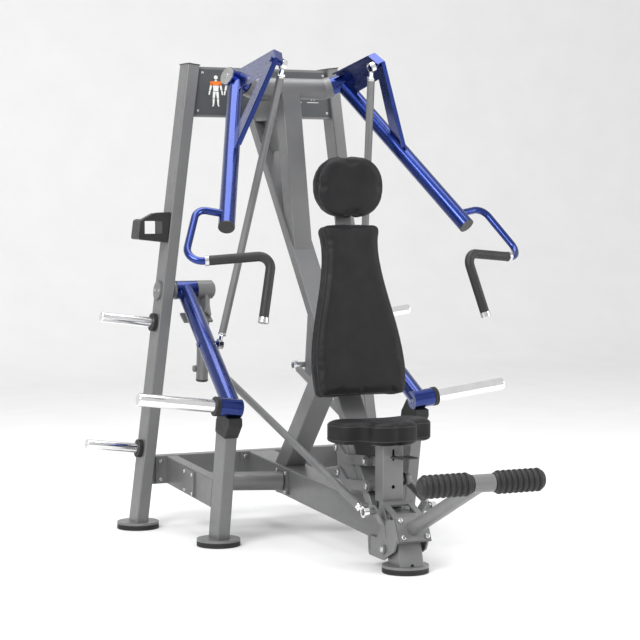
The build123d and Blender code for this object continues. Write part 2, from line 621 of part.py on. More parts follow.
def pad_brackets():
    """Flat bars behind the two pads and the two blocks that carry them on the mast."""
    at_back = -PAD_T - 0.4
    back_bar = BACK_PLANE * Pos(0, BACK_LEN / 2 + 12, at_back) * Box(
        64, BACK_LEN - 10, 10, align=(Align.CENTER, Align.CENTER, Align.MAX))
    y_head = HEAD_CENTRE[0] + PAD_T + 0.4
    neck_low = BACK_PLANE.from_local_coords(Vector(0, BACK_LEN - 20, at_back - 5))
    head_bar = bar(neck_low, (0, y_head + 5, HEAD_CENTRE[1] + 70), 64, 10, (1, 0, 0))
    head_space = Pos(0, y_head - 50, HEAD_CENTRE[1]) * Box(300, 100, 250)
    carrier = back_bar + (head_bar - head_space - pad_space())
    for share in (0.10, 0.34):
        centre = BACK_PLANE.from_local_coords(Vector(0, BACK_LEN * share, at_back - 4))
        reach_y = mast_face_y(centre.Z) + 40
        web = Pos(0, (centre.Y + reach_y) / 2, centre.Z) * Box(50, reach_y - centre.Y, 60)
        carrier += web - mast_space() - pad_space()
    return carrier


def mast_space():
    """Room taken by the two mast tubes, for trimming what is welded to them."""
    diagonal = bar((0, diagonal_y(200), 200), (0, diagonal_y(1700), 1700), 300, 200, (1, 0, 0))
    low, top = (Vector(0, front_face_y(z) + 100, z) for z in (1100.0, HOUSING_Z))
    front = bar(low, top, 300, 200 - 0.6, (1, 0, 0))
    return diagonal.translate(DIAGONAL_NORMAL * 99.7) + front


def mast_face_y(z):
    """Y of the mast's front at height z, on the front tube or the diagonal."""
    return min(front_face_y(z), diagonal_y(z))


def pad_space():
    return BACK_PLANE * Box(600, 2000, PAD_T + 0.8, align=(Align.CENTER, Align.CENTER, Align.MAX))


# ---- seat ----------------------------------------------------------------------------------------
def seat_post():
    """Moving box post under the seat, with the two front pins of the links."""
    y_front, y_rear = SEAT_POST_Y
    y_mid = (y_front + y_rear) / 2
    top_z = SEAT_Z[0] - 7
    low_z = rail_top(y_rear) + 24
    tube = box_tube((0, y_mid, low_z), (0, y_mid, top_z), SEAT_POST_W, y_rear - y_front, (1, 0, 0))
    tube -= Pos(0, y_front, 417) * Box(9, 30, 42)
    tube -= Pos(0, y_front, 299) * Rot(90, 0, 0) * Cylinder(7, 30)
    body = tube
    for y, z in LINK_FRONT:
        body += rod((-LINK_X[0] + 2, y, z), (LINK_X[0] - 2, y, z), LINK_HUB_R)
        body += Pos(0, (y + y_rear - 2) / 2, z) * Box(SEAT_POST_W - 12, abs(y - y_rear) + 2, 34)
        body += link_pin(y, z)
    plate = Pos(0, -1130, SEAT_Z[0] - 0.4) * Box(140, 260, 6, align=(Align.CENTER, Align.CENTER, Align.MAX))
    knob_boss = rod((SEAT_POST_W / 2 - 2, y_mid, 322), (SEAT_POST_W / 2 + 14, y_mid, 322), 16)
    return body + plate + knob_boss


def seat_link(index):
    """Pair of cranked plates between a rear and a front pin."""
    (y_rear, z_rear), (y_front, z_front) = LINK_REAR[index], LINK_FRONT[index]
    outline = [(y_rear + 17, z_rear + 8), (y_rear - 4, z_rear + 19), (y_rear - 22, z_rear + 12),
               (y_rear - 68, z_rear - 18), (y_front, z_front + 19), (y_front, z_front - 19),
               (y_rear - 92, z_rear - 52), (y_rear - 56, z_rear - 48), (y_rear + 14, z_rear - 14)]
    link = None
    for side in (-1, 1):
        low = min(side * LINK_X[0], side * LINK_X[1])
        plate = yz_plate(outline, low, low + LINK_X[1] - LINK_X[0])
        for y, z in ((y_rear, z_rear), (y_front, z_front)):
            plate += rod((side * LINK_X[0], y, z), (side * LINK_X[1], y, z), LINK_HUB_R)
        link = plate if link is None else link + plate
    for y, z in ((y_rear, z_rear), (y_front, z_front)):
        link -= rod((-80, y, z), (80, y, z), LINK_PIN_R + RUNNING_GAP)
    return link


def seat_bracket():
    """Two plates behind the diagonal mast tube that hold the rear pins of the seat links."""
    rear = MAST_D * (1 + DIAGONAL_SLOPE ** 2) ** 0.5 + 0.3
    outline = [(diagonal_y(440) + rear, 440), (-866, 428), (-860, 400), (-872, 300), (-900, 294),
               (diagonal_y(300) + rear, 300)]
    plates = []
    for side in (-1, 1):
        low = min(side * 36, side * 50)
        plate = yz_plate(outline, low, low + 14)
        for y, z in LINK_REAR:
            plate -= rod((-80, y, z), (80, y, z), LINK_PIN_R)
        plates.append(plate)
    return plates


def seat_stop():
    """Rubber block on the spine that the seat post comes down on."""
    y_mid = sum(SEAT_POST_Y) / 2
    low = rail_top(y_mid + 30) + 0.3
    return Pos(0, y_mid, low) * Box(70, 60, rail_top(SEAT_POST_Y[1]) + 23.5 - low,
                                    align=(Align.CENTER, Align.CENTER, Align.MIN))


def seat_pad():
    """Saddle cushion: two wide rear lobes and a narrow nose between the legs."""
    wide, nose, rear_y, step_y, nose_y = 210.0, 100.0, -1047.0, -1195.0, -1292.0
    right = [(0, rear_y - 12), (60, rear_y - 8), (wide - 34, rear_y), (wide - 4, rear_y - 34),
             (wide, (rear_y + step_y) / 2 - 10), (wide - 30, step_y - 4), (nose + 26, step_y - 18),
             (nose + 2, step_y - 42), (nose - 6, nose_y + 26), (nose - 34, nose_y + 2), (0, nose_y)]
    left = [(-x, y) for x, y in right]
    face = make_face(Wire([Spline(right), Spline(left)]))
    pad = extrude(face, SEAT_Z[1] - SEAT_Z[0])
    pad = fillet(pad.faces().sort_by(Axis.Z)[-1].edges(), 9)
    return pad.translate((0, 0, SEAT_Z[0]))


def seat_paddle():
    """Flat release lever that comes out of the slot in the seat post."""
    y_front = SEAT_POST_Y[0]
    stem = Pos(0, y_front - 2, 412) * Box(5, 44, 8)
    stem += rod((-14, y_front + 16, 412), (14, y_front + 16, 412), 5)
    blade = Pos(20, y_front - 50, 412) * Rot(0, 0, 8) * Box(76, 76, 5)
    blade = fillet(blade.edges().filter_by(Axis.Z).sort_by(Axis.Y)[0:2], 8)
    return stem + blade


# ---- press arms ------------------------------------------------------------------------------------
def bracket_point(along, towards, inward=0.0):
    return BRACKET_PLANE.from_local_coords(Vector(along, BRACKET_SIDE * towards, INWARD * inward))


def bracket():
    """Plate from the hub to the tie rod and back down to the arm tube, with a folded top edge."""
    outer = [(-40, 0), (-42, 24), (150, 318), (212, 330), (446, 26), (446, 0)]
    window = [(96, 36), (205, 222), (334, 36)]
    to_plane = [(x, BRACKET_SIDE * y) for x, y in outer]
    hole = [(x, BRACKET_SIDE * y) for x, y in window]
    half = PLATE_BRACKET_T / 2
    web = extrude(make_face(Polyline(to_plane, close=True)), half, both=True)
    web -= extrude(make_face(Polyline(hole, close=True)), half * 3, both=True)
    web = BRACKET_PLANE * web
    fold = None
    edges = [((-30, 42), (150, 318)), ((150, 318), (212, 330)), ((212, 330), (430, 46))]
    widths = (34.0, 34.0, 16.0)
    for (start, end), width in zip(edges, widths):
        p, q = bracket_point(*start, width / 2), bracket_point(*end, width / 2)
        strip = bar(p, q, width, PLATE_BRACKET_T, BRACKET_NORMAL)
        fold = strip if fold is None else fold + strip
    return web + fold


def rounded_path(points, bends):
    """Polyline whose inner corners are rounded by tangent arcs."""
    edges = []
    start = points[0]
    for i, bend in enumerate(bends, start=1):
        before, corner, after = points[i - 1], points[i], points[i + 1]
        inward = (before - corner).normalized()
        onward = (after - corner).normalized()
        half_angle = radians(inward.get_angle(onward)) / 2
        set_back = bend / (sin(half_angle) / cos(half_angle))
        p, q = corner + inward * set_back, corner + onward * set_back
        bisector = (inward + onward).normalized()
        middle = corner + bisector * (bend / sin(half_angle) - bend)
        edges += [Line(start, p), ThreePointArc(p, middle, q)]
        start = q
    edges.append(Line(start, points[-1]))
    return Wire(edges)


def swept_tube(path, radius):
    plane = Plane(origin=path @ 0, z_dir=path % 0)
    return sweep(plane * Circle(radius), path=path)


def handle_path():
    return rounded_path(HANDLE_POINTS, HANDLE_BENDS)


def press_arm():
    """Welded arm: hub, long tube, bracket plate and the bent handle tube."""
    hub_in = PRESS_PIVOT + PRESS_AXIS * STUB_L
    hub_out = hub_in + PRESS_AXIS * PRESS_HUB_L
    arm_dir = (ARM_END - PRESS_HUB).normalized()
    body = rod(hub_in, hub_out, PRESS_HUB_R) + rod(PRESS_HUB, ARM_END - arm_dir * 3, ARM_R) + bracket()
    body += swept_tube(handle_path(), HANDLE_R)
    stub_clear = rod(PRESS_PIVOT - PRESS_AXIS * 80, hub_in - PRESS_AXIS * 0.01, HOUSING_R + 30)
    body -= rod(ARM_END - arm_dir * 60, ARM_END + arm_dir, ARM_R - WALL)
    body -= rod(hub_in - PRESS_AXIS, hub_out - PRESS_AXIS * 5, PRESS_AXLE_R + RUNNING_GAP)
    hole = BRACKET_PLANE.from_local_coords(Vector(TIE_HOLE[0], BRACKET_SIDE * TIE_HOLE[1], 0))
    outwards = BRACKET_NORMAL * -INWARD
    body -= stub_clear
    body += rod(hole - outwards * (TIE_INSET - EYE_T / 2 - 4), hole, 13)
    body += rod(hole - outwards * (TIE_INSET + 12), hole + outwards * 9, 6)
    body += rod(hole, hole + outwards * 10, 11)
    body += ball(TIE_UPPER, BRACKET_NORMAL)
    return body


def arm_plug():
    arm_dir = (ARM_END - PRESS_HUB).normalized()
    head = rod(ARM_END - arm_dir * 3, ARM_END + arm_dir * 2, ARM_R)
    return head + rod(ARM_END - arm_dir * 22, ARM_END - arm_dir * 3, ARM_R - WALL - 0.2)


def sleeve_on_path(start, end, outer, inner):
    """Tube that follows the handle between two shares of its length."""
    path = handle_path()
    part_path = trim_path(path, start, end)
    return swept_tube(part_path, outer) - swept_tube(part_path, inner)


def trim_path(path, start, end):
    """Part of a wire between two shares of its length."""
    return path.trim(start, end)


def grip_start():
    """Share of the handle length where the rubber grip begins."""
    path = handle_path()
    low, high = 0.35, 0.75
    for _ in range(30):
        mid = (low + high) / 2
        if (path @ mid).X < GRIP_START_X:
            low = mid
        else:
            high = mid
    return low


def grip():
    """Rubber tube over the hand part of the handle."""
    share = FERRULE_L / handle_path().length
    return sleeve_on_path(grip_start() + share, 1 - share, GRIP_R, HANDLE_R)


def arm_trim():
    """Two handle ferrules and the round cap on the press hub."""
    share = FERRULE_L / handle_path().length
    begin = grip_start()
    first = sleeve_on_path(begin + 0.0005, begin + share - 0.0005, FERRULE_R, HANDLE_R)
    last = sleeve_on_path(1 - share + 0.0005, 0.9999, FERRULE_R, HANDLE_R)
    path = handle_path()
    end = path @ 1
    along = (path % 1).normalized()
    last += rod(end + along * 0.2, end + along * 4, FERRULE_R)
    last += rod(end - along * 3, end + along * 1, FERRULE_R) - rod(end - along * 4, end + along * 0.2, HANDLE_R)
    hub_end = PRESS_PIVOT + PRESS_AXIS * (STUB_L + PRESS_HUB_L)
    cap = rod(hub_end + PRESS_AXIS * 0.1, hub_end + PRESS_AXIS * 5, PRESS_HUB_R - 2)
    dimple = rod(hub_end + PRESS_AXIS * 3, hub_end + PRESS_AXIS * 8, 6)
    return [first, last, cap - dimple]


# ---- weight arms and levers ------------------------------------------------------------------------
def weight_arm():
    """Hub, tube and peg hub of a weight arm, with the cross boss for the tie rod."""
    hub = rod(ARM_PIVOT - ARM_AXIS * HUB_L / 2, ARM_PIVOT + ARM_AXIS * HUB_L / 2, HUB_R)
    tube = rod(ARM_PIVOT, ARM_FOOT, WEIGHT_ARM_R)
    peg_hub = rod(PEG_HUB - LEAN_AXIS * PEG_HUB_L / 2, PEG_HUB + LEAN_AXIS * PEG_HUB_L / 2, PEG_HUB_R)
    boss = rod(TIE_LOWER + ARM_AXIS * (EYE_T / 2 + 3), TIE_BOSS + ARM_AXIS * (WEIGHT_ARM_R + 5), 12.5)
    stud = rod(TIE_LOWER - ARM_AXIS * 13, TIE_BOSS, 6)
    body = hub + tube + peg_hub + boss + stud + ball(TIE_LOWER, ARM_AXIS)
    body -= rod(ARM_PIVOT - ARM_AXIS * 60, ARM_PIVOT + ARM_AXIS * 60, AXLE_R + RUNNING_GAP)
    socket = PEG_HUB - LEAN_AXIS * (PEG_HUB_L / 2)
    body -= rod(socket - LEAN_AXIS, socket + LEAN_AXIS * 3, 7)
    return body


def stepped_peg(base, length, radius, collar_t):
    """Loading peg with a rounded tip, thinner where its collar sits."""
    neck = rod(base, base + LEAN_AXIS * (collar_t + 0.5), radius - SEAT_STEP)
    shank = rod(base + LEAN_AXIS * (collar_t + 0.5), base + LEAN_AXIS * length, radius)
    tip = shank.edges().filter_by(GeomType.CIRCLE).sort_by(Axis.X)[0]
    return fillet(tip, 5) + neck


def weight_peg():
    return stepped_peg(PEG_HUB + LEAN_AXIS * (PEG_HUB_L / 2 + 0.1), PEG_L, PEG_R, PEG_COLLAR_T)


def weight_collar():
    base = PEG_HUB + LEAN_AXIS * (PEG_HUB_L / 2 + 0.1)
    ring = rod(base, base + LEAN_AXIS * PEG_COLLAR_T, PEG_COLLAR_R)
    ring = fillet(ring.edges().filter_by(GeomType.CIRCLE), 3)
    return ring - rod(base - LEAN_AXIS, base + LEAN_AXIS * 40, PEG_R - SEAT_STEP)


def lift_lever():
    """Lever beside the weight arm: hub, hanging tube, rod stud and the pusher under the arm."""
    hub = rod(LEVER_PIVOT - ARM_AXIS * LEVER_HUB_L / 2, LEVER_PIVOT + ARM_AXIS * (LEVER_HUB_L / 2 - FACE_GAP),
              HUB_R)
    hub = chamfer(hub.edges().filter_by(GeomType.CIRCLE).sort_by(Axis.X)[-1], 9)
    tube = rod(LEVER_PIVOT, LEVER_END, LEVER_R)
    down = (LEVER_END - LEVER_PIVOT).normalized()
    at = LEVER_PIVOT + down * (LEVER_EYE - LEVER_PIVOT).dot(down)
    at = Vector(at.X, LEVER_EYE.Y, LEVER_EYE.Z)
    boss = rod(at, at + ARM_AXIS * (LEVER_R + 9), 14)
    spacer = rod(LEVER_EYE + ARM_AXIS * (EYE_T / 2 + 3), at, 12)
    stud = rod(LEVER_EYE - ARM_AXIS * 13, at, 6)
    body = hub + tube + boss + spacer + stud + ball(LEVER_EYE, ARM_AXIS) + pusher()
    bore_start = LEVER_PIVOT - ARM_AXIS * (LEVER_HUB_L / 2 - 7)
    return body - rod(bore_start, LEVER_PIVOT + ARM_AXIS * 60, AXLE_R + RUNNING_GAP)


PUSHER_GAP = 17.0           # free travel of the lift lever before it meets the arm


def pusher():
    """Blade of the lift lever and the pad that it holds under the weight arm tube."""
    arm_dir = (ARM_FOOT - ARM_PIVOT).normalized()
    under = ARM_AXIS.cross(arm_dir).normalized()
    if under.Z > 0:
        under = under * -1
    contact = ARM_PIVOT + arm_dir * 118 + under * (WEIGHT_ARM_R + PUSHER_GAP + 5)
    pad = bar(contact + ARM_AXIS * 30, contact - ARM_AXIS * 96, 58, 10, arm_dir)
    root = LEVER_PIVOT + Vector(0, 0, -10)
    return pad + bar(root, contact - ARM_AXIS * 86, 12, 46, ARM_AXIS)


def tie_rod():
    aim = (TIE_UPPER - TIE_LOWER).normalized()
    return rod(TIE_LOWER + aim * 46, TIE_UPPER - aim * 46, ROD_R)


def tie_rod_ends():
    lower = rod_end(TIE_LOWER, TIE_UPPER, ARM_AXIS, 45.8)
    upper = rod_end(TIE_UPPER, TIE_LOWER, BRACKET_NORMAL, 45.8)
    return [lower, upper]


def foot_rod():
    aim = (FOOT_EYE - LEVER_EYE).normalized()
    return rod(LEVER_EYE + aim * 46, FOOT_EYE - aim * 46, ROD_R)


def foot_rod_ends():
    upper = rod_end(LEVER_EYE, FOOT_EYE, (1, 0, 0), 45.8)
    lower = rod_end(FOOT_EYE, LEVER_EYE, (1, 0, 0), 45.8)
    return [upper, lower]


# ---- foot lever ------------------------------------------------------------------------------------
FLANGE_MID = Vector(0, -1394, 166)


def foot_lever():
    """Yoke of two side plates, flared ears, an arched top plate and a front plate."""
    outline = [(-1162, 117), (-1170, 44), (-1289, 41), (-1375, 84), (-1404, 140), (-1404, 200),
               (-1330, 196), (-1262, 183), (-1240, 117)]
    body = None
    for side in (-1, 1):
        low = min(side * YOKE_X, side * (YOKE_X + YOKE_T))
        plate = yz_plate(outline, low, low + YOKE_T)
        plate = fillet(plate.edges().filter_by(Axis.X), 12)
        plate -= rod((side * 40, *FOOT_PIVOT), (side * 90, *FOOT_PIVOT), FOOT_PIN_R + RUNNING_GAP)
        plate -= Pos(side * YOKE_X, -1182, 96) * Box(40, 6, 66)
        plate += yoke_ear(side)
        body = plate if body is None else body + plate
    aim = foot_arm_direction()
    front = Plane(origin=FLANGE_MID, x_dir=(1, 0, 0), z_dir=aim) * Box(
        2 * (YOKE_X + YOKE_T), 96, PLATE_T, align=(Align.CENTER, Align.CENTER, Align.MAX))
    roof_low, roof_high = Vector(0, -1384, 198), Vector(0, -1262, 247)
    roof = bar(roof_low, roof_high, 2 * YOKE_X + 2, PLATE_T, (1, 0, 0))
    opening = bar(roof_low + (roof_high - roof_low) * 0.3, roof_low + (roof_high - roof_low) * 0.8,
                  76, PLATE_T * 3, (1, 0, 0))
    flange_space = Plane(origin=FLANGE_MID, x_dir=(1, 0, 0), z_dir=aim) * Box(
        400, 400, 200, align=(Align.CENTER, Align.CENTER, Align.MIN))
    return body + front + (roof - opening) - flange_space


def yoke_ear(side):
    """Flared ear of the yoke with the ball stud of a foot rod."""
    y_eye, z_eye = FOOT_EYE.Y, FOOT_EYE.Z
    x_eye, x_ear = side * -FOOT_EYE.X, side * 110.0
    root = Vector(side * (YOKE_X + 4), y_eye - 6, 120)
    bend = Vector(side * (YOKE_X + 5), y_eye + 4, 172)
    top = Vector(x_ear, y_eye + 2, z_eye + 22)
    ear = bar(bend, top, 46, 8, (0, 1, 0)) + bar(root, bend + (bend - root) * 0.1, 46, 8, (0, 1, 0))
    low, high = sorted((side * YOKE_X, side * (YOKE_X + YOKE_T)))
    ear += yz_plate([(y_eye - 40, 184), (y_eye + 30, 184), (y_eye + 30, 250), (y_eye + 12, 252)], low, high)
    stud = rod((x_ear - side * 14, y_eye, z_eye), (x_eye - side * (EYE_T / 2 + 3), y_eye, z_eye), 12)
    stud += rod((x_ear, y_eye, z_eye), (x_eye + side * 12, y_eye, z_eye), 6)
    return ear + stud + ball((x_eye, y_eye, z_eye), (1, 0, 0))


def foot_arm_direction():
    return (Vector(0, *ROLLER_AXIS) - FLANGE_MID).normalized()


def foot_arm():
    """Flanged tube out to the roller bar and the sleeve between the rollers."""
    aim = foot_arm_direction()
    flange = Plane(origin=FLANGE_MID + aim * 0.2, x_dir=(1, 0, 0), z_dir=aim) * Box(
        126, 92, PLATE_T, align=(Align.CENTER, Align.CENTER, Align.MIN))
    tube = rod(FLANGE_MID + aim * 2, Vector(0, *ROLLER_AXIS), FOOT_TUBE_R)
    sleeve = rod((-ROLLER_X[0] + 1.5, *ROLLER_AXIS), (ROLLER_X[0] - 1.5, *ROLLER_AXIS), 31)
    spindle = rod((-ROLLER_X[1] + 22, *ROLLER_AXIS), (ROLLER_X[1] - 22, *ROLLER_AXIS), ROLLER_BAR_R)
    return flange + tube + sleeve + spindle


def foot_arm_bolts():
    aim = foot_arm_direction()
    plane = Plane(origin=FLANGE_MID + aim * (0.2 + PLATE_T), x_dir=(1, 0, 0), z_dir=aim)
    bolts = []
    for x in (-48, 48):
        for y in (-32, 32):
            bolts.append(bolt(plane.from_local_coords(Vector(x, y, 0)), aim, 9, 7))
    return bolts


def roller():
    """Ribbed rubber roller with rounded ends, bored for the spindle."""
    ribs = 9
    length = ROLLER_X[1] - ROLLER_X[0]
    pitch = length / ribs
    groove_r = ROLLER_R - 6
    profile = Wire([Line((0, 0), (length, 0)), Line((length, 0), (length, 20)),
                    ThreePointArc((length, 20), (length - 7, 33), (length - 16, groove_r)),
                    Line((length - 16, groove_r), (10, groove_r)),
                    ThreePointArc((10, groove_r), (3, 32), (0, 26)), Line((0, 26), (0, 0))])
    body = revolve(make_face(profile), Axis.X)
    for i in range(ribs - 1):
        centre = 10 + pitch * (i + 0.55)
        ring = revolve(Pos(centre, groove_r - 1) * Circle(ROLLER_R - groove_r + 1), Axis.X)
        body += ring
    end_gap = 20.0
    body -= rod((-1, 0, 0), (length - end_gap, 0, 0), ROLLER_BAR_R + 0.08)
    return body.translate((ROLLER_X[0], *ROLLER_AXIS))


# ---- assembly --------------------------------------------------------------------------------------
def both_sides(shape):
    return [shape, mirrored(shape)]


def build():
    parts = {
        "uprights": both_sides(upright()), "upright_caps": both_sides(upright_cap()),
        "top_beam": cross_beam(*TOP_BEAM_Z, TOP_BEAM_Y, TOP_BEAM_D), "sign_plate": sign_plate(),
        "lower_beam": lower_beam(), "side_rails": both_sides(side_rail()),
        "spine_rail": spine_rail(), "stop_posts": both_sides(stop_post()),
        "cross_tubes": both_sides(cross_tube()), "foot_plates": foot_plates(),
        "foot_rubbers": foot_rubbers(), "front_post": front_post(), "mast_front": mast_front(),
        "mast_diagonal": mast_diagonal(), "mast_rear_leg": mast_rear_leg(),
        "press_housing": press_housing(), "pivot_axles": pivot_axles(), "frame_bolts": frame_bolts(),
        "storage_pegs": storage_pegs(), "storage_collars": storage_collars(),
        "stop_blocks": both_sides(stop_block()) + [seat_stop()], "accessory_holder": accessory_holder(),
        "back_pad": back_pad(), "head_pad": head_pad(), "pad_brackets": pad_brackets(),
        "seat_post": seat_post(), "seat_link_upper": seat_link(0), "seat_link_lower": seat_link(1),
        "seat_bracket": seat_bracket(), "seat_pad": seat_pad(), "seat_paddle": seat_paddle(),
        "foot_lever": foot_lever(), "foot_arm": foot_arm(), "foot_arm_bolts": foot_arm_bolts(),
        "roller_right": roller(), "roller_left": mirrored(roller()),
    }
    for name, shape in (("press_arm", press_arm()), ("arm_plug", arm_plug()), ("grip", grip()),
                        ("arm_trim", arm_trim()), ("weight_arm", weight_arm()),
                        ("weight_peg", weight_peg()), ("weight_collar", weight_collar()),
                        ("lift_lever", lift_lever()), ("tie_rod", tie_rod()),
                        ("tie_rod_ends", tie_rod_ends()), ("foot_rod", foot_rod()),
                        ("foot_rod_ends", foot_rod_ends())):
        solids = shape if isinstance(shape, list) else [shape]
        parts[name + "_left"] = solids
        parts[name + "_right"] = [mirrored(solid) for solid in solids]
    return parts


MIDDLE_Y = (FOOT_R + ROLLER_AXIS[0] - ROLLER_R) / 2     # middle of the length, from the uprights


def write(parts):
    os.makedirs("parts", exist_ok=True)
    for name, shape in parts.items():
        group = shape if isinstance(shape, list) else [shape]
        solids = [solid.translate((0, -MIDDLE_Y, 0)) for piece in group for solid in piece.solids()]
        node = solids[0] if len(solids) == 1 else Compound(children=solids)
        node.label = name
        export_step(node, f"parts/{name}.step")


write(build())
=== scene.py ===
import bpy, bmesh, json, math
from mathutils import Vector, Matrix, Quaternion


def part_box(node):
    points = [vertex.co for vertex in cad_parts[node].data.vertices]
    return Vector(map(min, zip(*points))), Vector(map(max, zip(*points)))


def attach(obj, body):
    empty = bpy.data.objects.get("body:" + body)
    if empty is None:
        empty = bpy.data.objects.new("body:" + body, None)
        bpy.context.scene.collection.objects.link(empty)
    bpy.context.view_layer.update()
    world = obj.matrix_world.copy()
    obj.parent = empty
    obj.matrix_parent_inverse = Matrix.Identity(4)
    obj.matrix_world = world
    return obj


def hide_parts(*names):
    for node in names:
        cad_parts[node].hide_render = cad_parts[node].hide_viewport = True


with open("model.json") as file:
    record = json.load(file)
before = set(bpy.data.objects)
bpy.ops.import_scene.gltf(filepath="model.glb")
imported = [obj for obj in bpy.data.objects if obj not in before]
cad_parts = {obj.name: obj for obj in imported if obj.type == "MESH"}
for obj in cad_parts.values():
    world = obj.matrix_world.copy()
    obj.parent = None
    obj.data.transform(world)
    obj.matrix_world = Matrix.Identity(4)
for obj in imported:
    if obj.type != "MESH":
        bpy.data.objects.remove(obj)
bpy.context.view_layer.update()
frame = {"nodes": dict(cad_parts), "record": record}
NODES = frame["nodes"]
V = Vector
LEAN = V((-1, 0, 0.125)).normalized()       # left side, square to an upright, outwards
MID = 0.925                                 # Y of the line between the uprights
PRESS = V((-0.906, -0.280, 0.317)).normalized()


# ---------------------------------------------------------------- materials
def new_mat(name, color, rough, metal=0.0, coat=0.0, coat_rough=0.05, spec=0.5, sheen=0.0):
    m = bpy.data.materials.new(name)
    m.use_nodes = True
    b = m.node_tree.nodes["Principled BSDF"]
    b.inputs["Base Color"].default_value = (*color, 1)
    b.inputs["Roughness"].default_value = rough
    b.inputs["Metallic"].default_value = metal
    b.inputs["Coat Weight"].default_value = coat
    b.inputs["Coat Roughness"].default_value = coat_rough
    b.inputs["Specular IOR Level"].default_value = spec
    b.inputs["Sheen Weight"].default_value = sheen
    return m, m.node_tree.nodes, m.node_tree.links, b


def coords(n, l, scale=1.0):
    tc = n.new("ShaderNodeTexCoord")
    mp = n.new("ShaderNodeMapping")
    mp.inputs["Scale"].default_value = (scale, scale, scale)
    l.new(tc.outputs["Object"], mp.inputs["Vector"])
    return mp.outputs["Vector"]


def noise(n, l, vec, scale, detail=4.0, rough=0.55):
    t = n.new("ShaderNodeTexNoise")
    t.inputs["Scale"].default_value = scale
    t.inputs["Detail"].default_value = detail
    t.inputs["Roughness"].default_value = rough
    l.new(vec, t.inputs["Vector"])
    return t.outputs["Fac"]


def remap(n, l, value, lo, hi, f_lo=0.3, f_hi=0.7):
    r = n.new("ShaderNodeMapRange")
    r.inputs["From Min"].default_value = f_lo
    r.inputs["From Max"].default_value = f_hi
    r.inputs["To Min"].default_value = lo
    r.inputs["To Max"].default_value = hi
    l.new(value, r.inputs["Value"])
    return r.outputs["Result"]


def tint(n, l, value, low, high, b):
    mix = n.new("ShaderNodeMix")
    mix.data_type = "RGBA"
    mix.inputs["A"].default_value = (*low, 1)
    mix.inputs["B"].default_value = (*high, 1)
    l.new(value, mix.inputs["Factor"])
    l.new(mix.outputs["Result"], b.inputs["Base Color"])


def bump(n, l, value, strength, distance, b):
    k = n.new("ShaderNodeBump")
    k.inputs["Strength"].default_value = strength
    k.inputs["Distance"].default_value = distance
    l.new(value, k.inputs["Height"])
    l.new(k.outputs["Normal"], b.inputs["Normal"])


def paint(name, low, high, rough, metal, coat, peel):
    """Sprayed coat with soft mottling, orange peel and slightly uneven gloss."""
    m, n, l, b = new_mat(name, low, rough, metal, coat, 0.12)
    vec = coords(n, l)
    tint(n, l, remap(n, l, noise(n, l, vec, 9.0, 6.0), 0, 1), low, high, b)
    l.new(remap(n, l, noise(n, l, vec, 40.0), rough - 0.05, rough + 0.07), b.inputs["Roughness"])
    bump(n, l, noise(n, l, vec, 900.0, 2.0), peel, 0.0004, b)
    return m


def metal_mat(name, low, high, rough, grain=600.0):
    m, n, l, b = new_mat(name, low, rough, 1.0)
    vec = coords(n, l)
    tint(n, l, remap(n, l, noise(n, l, vec, 18.0, 5.0), 0, 1), low, high, b)
    l.new(remap(n, l, noise(n, l, vec, 120.0, 6.0, 0.7), rough, rough + 0.09), b.inputs["Roughness"])
    bump(n, l, noise(n, l, vec, grain, 3.0), 0.06, 0.0002, b)
    return m


def soft_black(name, low, high, rough, grain, strength, distance, spec=0.4, sheen=0.0):
    m, n, l, b = new_mat(name, low, rough, 0.0, 0.0, 0.2, spec, sheen)
    vec = coords(n, l)
    tint(n, l, remap(n, l, noise(n, l, vec, 14.0, 5.0), 0, 1), low, high, b)
    l.new(remap(n, l, noise(n, l, vec, 60.0), rough - 0.06, rough + 0.08), b.inputs["Roughness"])
    bump(n, l, noise(n, l, vec, grain, 4.0, 0.6), strength, distance, b)
    return m


def leather(name):
    """Black upholstery vinyl with a pebbled grain."""
    m, n, l, b = new_mat(name, (0.012, 0.012, 0.013), 0.48, 0.0, 0.0, 0.3, 0.2, 0.0)
    vec = coords(n, l)
    cell = n.new("ShaderNodeTexVoronoi")
    cell.feature = "DISTANCE_TO_EDGE"
    cell.inputs["Scale"].default_value = 420.0
    l.new(vec, cell.inputs["Vector"])
    pebble = remap(n, l, cell.outputs["Distance"], 0, 1, 0.0, 0.25)
    fine = noise(n, l, vec, 1500.0, 3.0)
    add = n.new("ShaderNodeMath")
    add.operation = "MULTIPLY_ADD"
    add.inputs[1].default_value = 0.35
    l.new(fine, add.inputs[0])
    l.new(pebble, add.inputs[2])
    bump(n, l, add.outputs["Value"], 0.28, 0.0005, b)
    tint(n, l, remap(n, l, noise(n, l, vec, 11.0, 5.0), 0, 1), (0.007, 0.007, 0.008), (0.013, 0.013, 0.014), b)
    l.new(remap(n, l, noise(n, l, vec, 26.0), 0.44, 0.56), b.inputs["Roughness"])
    return m


